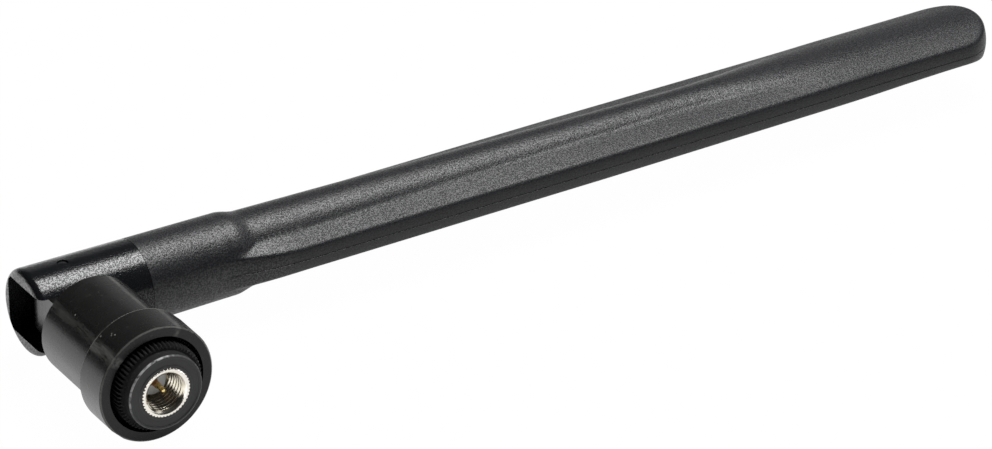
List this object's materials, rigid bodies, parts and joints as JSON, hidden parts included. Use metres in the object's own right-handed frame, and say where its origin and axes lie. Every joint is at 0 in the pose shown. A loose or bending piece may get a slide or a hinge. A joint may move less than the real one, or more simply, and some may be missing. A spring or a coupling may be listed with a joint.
{
  "type": "whip antenna",
  "caption": "Folding whip antenna: a flat tapered blade with a round neck, hinged to a swivelling knuckle with a screw-on coaxial plug.",
  "frame": {"origin": "where the plug's axis meets its reference plane, at the root of the centre contact", "axes": "-Y out of the plug's mouth, +X from the hinge towards the blade's tip with the whip folded square to the plug, +Z along the hinge's axis"},
  "size_m": [0.1741, 0.0381, 0.0184],
  "materials": {
    "black_plastic": "fine satin texture",
    "nickel": "nickel plated",
    "gold": "gold plated",
    "white_insulator": "smooth",
    "spring_steel": "bright",
    "pin_steel": "blackened",
    "washer_plastic": "smooth",
    "seal_rubber": "matt",
    "cable_jacket": "smooth",
    "sleeve_brass": "drawn",
    "shrink_tube": "smooth",
    "copper": "bare copper",
    "former_plastic": "smooth"
  },
  "bodies": {
    "connector": {"connector_body": "nickel", "insulator": "white_insulator", "centre_contact": "gold", "crimp_ferrule": "nickel", "feed_cable": "cable_jacket", "nut_ring": "spring_steel", "swivel_ring": "spring_steel", "swivel_washer": "washer_plastic", "face_gasket": "seal_rubber"},
    "coupling_nut": {"nut_insert": "nickel", "nut_grip": "black_plastic"},
    "knuckle": {"knuckle": "black_plastic"},
    "whip": {"hinge_housing": "black_plastic", "hinge_pin": "pin_steel", "radome": "black_plastic", "whip_cable": "cable_jacket", "choke_sleeve": "sleeve_brass", "joint_sleeve": "shrink_tube", "whip_wire": "copper", "coil_former": "former_plastic", "root_spacer": "former_plastic", "tip_spacer": "former_plastic"}
  },
  "joints": [
    {"name": "nut_spin", "type": "hinge", "parent": "connector", "child": "coupling_nut", "pos_m": [0, 0, 0], "axis": [0, 1, 0], "continuous": true},
    {"name": "swivel", "type": "hinge", "parent": "connector", "child": "knuckle", "pos_m": [0, 0, 0], "axis": [0, 1, 0], "range_deg": [-180, 180]},
    {"name": "tilt_hinge", "type": "hinge", "parent": "knuckle", "child": "whip", "pos_m": [0, 0.027, 0], "axis": [0, 0, 1], "range_deg": [0, 90]}
  ]
}
